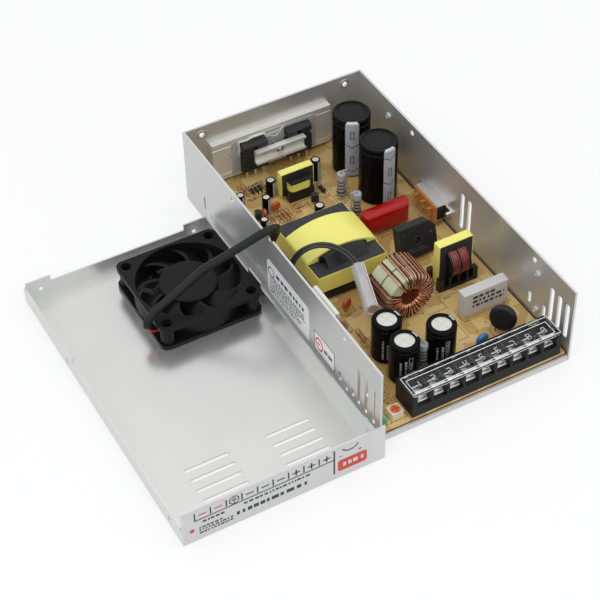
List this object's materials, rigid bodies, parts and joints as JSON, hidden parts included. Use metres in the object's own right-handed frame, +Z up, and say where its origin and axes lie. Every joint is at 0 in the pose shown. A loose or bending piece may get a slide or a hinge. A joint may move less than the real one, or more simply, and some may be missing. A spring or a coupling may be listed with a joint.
{
  "type": "switching power supply",
  "caption": "Enclosed switching power supply, opened: folded chassis with a populated board and terminal strip, and its slotted cover with a fan lying upside down beside it.",
  "frame": {"origin": "middle of the chassis base's underside", "axes": "+X across the chassis towards the selector wall, +Y from the terminals to the back wall, +Z up out of the open chassis"},
  "size_m": [0.2306, 0.2256, 0.0544],
  "materials": {
    "sheet_steel": "bright zinc-plated sheet",
    "black_film": "matt insulating film",
    "board": "lacquered amber laminate",
    "screw_steel": "plated",
    "aluminium": "mill finish",
    "grey_pad": "matt",
    "black_epoxy": "moulded epoxy",
    "black_sleeve": "shrunk sleeve",
    "ferrite": "ground ferrite",
    "black_plastic": "moulded",
    "yellow_tape": "polyester tape",
    "enamel_wire": "enamelled copper wire",
    "toroid_coat": "epoxy coat",
    "red_epoxy": "dipped",
    "grey_box": "moulded case",
    "dark_ceramic": "dipped disc",
    "phenolic": "paper laminate",
    "red_plastic": "moulded",
    "grey_enamel": "painted body",
    "tan_enamel": "painted body",
    "orange_dip": "dipped disc",
    "switch_metal": "plated case",
    "clear_plastic": "clear",
    "wire_black": "matt sleeve",
    "wire_red": "satin insulation",
    "cream_plastic": "moulded",
    "orange_plastic": "moulded",
    "light_green": "clear lens",
    "white_nylon": "moulded",
    "fan_plastic": "moulded",
    "motor": "stator and sleeve"
  },
  "bodies": {
    "supply": {"chassis": "sheet_steel", "insulation_sheet": "black_film", "circuit_board": "board", "board_spacers": "aluminium", "board_screws": "screw_steel", "machine_screws": "screw_steel", "rear_heatsink": "aluminium", "rear_insulator_pad": "grey_pad", "switching_transistors": "black_epoxy", "transistor_clip": "aluminium", "rectifier_diodes": "black_epoxy", "rectifier_clamp": "aluminium", "bulk_capacitors": "black_sleeve", "output_capacitors": "black_sleeve", "main_transformer_core": "ferrite", "main_transformer_bobbin": "black_plastic", "main_transformer_winding": "yellow_tape", "driver_transformer_core": "ferrite", "driver_transformer_bobbin": "black_plastic", "driver_transformer_winding": "yellow_tape", "choke_core": "ferrite", "choke_bobbin": "black_plastic", "choke_windings": "enamel_wire", "core_tapes": "yellow_tape", "toroid_cores": "toroid_coat", "toroid_winding": "enamel_wire", "film_capacitor": "red_epoxy", "suppression_capacitor": "grey_box", "bridge_rectifier": "black_epoxy", "inrush_thermistor": "dark_ceramic", "selector_can": "screw_steel", "selector_body": "black_plastic", "selector_board": "phenolic", "power_resistors": "grey_enamel", "small_capacitors": "black_sleeve", "axial_parts": "tan_enamel", "disc_capacitors": "orange_dip", "small_transistors": "black_epoxy", "thermal_switch": "switch_metal", "thermal_sleeve": "clear_plastic", "thermal_lead_a": "wire_black", "thermal_lead_b": "wire_black", "terminal_body": "black_plastic", "terminal_plates": "screw_steel", "terminal_screws": "screw_steel", "trimmer_base": "cream_plastic", "indicator_light": "light_green", "fan_connector": "white_nylon", "top_cover": "sheet_steel", "fan_frame": "fan_plastic", "fan_motor": "motor", "fan_screws": "screw_steel", "fan_wires": "wire_red", "fan_cord": "wire_black"},
    "impeller": {"fan_impeller": "fan_plastic", "fan_shaft": "screw_steel"},
    "lid": {"terminal_cover": "clear_plastic"},
    "trimmer": {"trimmer_rotor": "orange_plastic"},
    "slider": {"selector_slider": "red_plastic"}
  },
  "joints": [
    {"name": "fan_spin", "type": "hinge", "parent": "supply", "child": "impeller", "pos_m": [-0.09365, 0.0323, 0.008], "axis": [0, 0, 1], "continuous": true},
    {"name": "lid_hinge", "type": "hinge", "parent": "supply", "child": "lid", "pos_m": [0.0072, -0.091, 0.0192], "axis": [-1, 0, 0], "range_deg": [0, 90]},
    {"name": "trimmer_turn", "type": "hinge", "parent": "supply", "child": "trimmer", "pos_m": [-0.0436, -0.099, 0.0094], "axis": [0, 0, 1], "range_deg": [-130, 130]},
    {"name": "selector_slide", "type": "slide", "parent": "supply", "child": "slider", "axis": [0, 1, 0], "range_m": [0, 0.005]}
  ]
}
